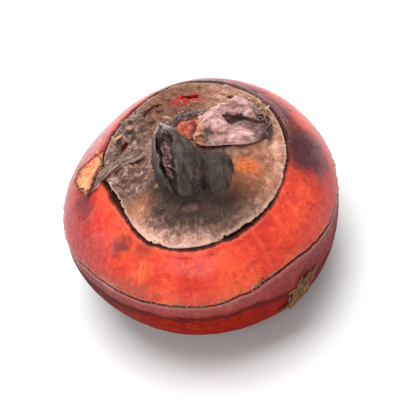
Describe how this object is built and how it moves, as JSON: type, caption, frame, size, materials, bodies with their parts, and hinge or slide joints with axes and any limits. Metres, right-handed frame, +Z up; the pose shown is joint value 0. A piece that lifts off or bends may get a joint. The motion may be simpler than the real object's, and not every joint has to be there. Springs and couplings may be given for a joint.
{
  "type": "water chestnut",
  "caption": "Fresh water chestnut corm: squat glossy orange-red body with dark leaf rings, a papery tan crown and dark claw-like buds.",
  "frame": {"origin": "middle of the outline on the surface that the corm rests on", "axes": "+Z up through the crown, away from the base; -Y is the front, with the main bud leaning back towards +Y; +X is to the right seen from the front"},
  "size_m": [0.0396, 0.04, 0.0301],
  "materials": {
    "corm_skin": "glossy plant skin, orange-red with purple-black blotches and dark rings",
    "papery_leaf": "matte papery leaf with radial fibres, pinkish tan, dark brown in the middle",
    "bud_scale": "dry tough bud scale, near black with a pale tip",
    "dry_husk": "dry pinkish-brown husk with a satin sheen",
    "fresh_scale": "torn orange leaf tissue, matte",
    "fibrous_scrap": "matte tan-brown fibres"
  },
  "bodies": {
    "root": {"corm": "corm_skin", "crown_leaf": "papery_leaf", "main_bud": "bud_scale", "side_bud": "bud_scale", "curled_scale": "dry_husk", "orange_scale": "fresh_scale", "rear_scale": "dry_husk", "torn_scale": "fresh_scale", "ring_scrap": "fibrous_scrap"}
  },
  "joints": []
}
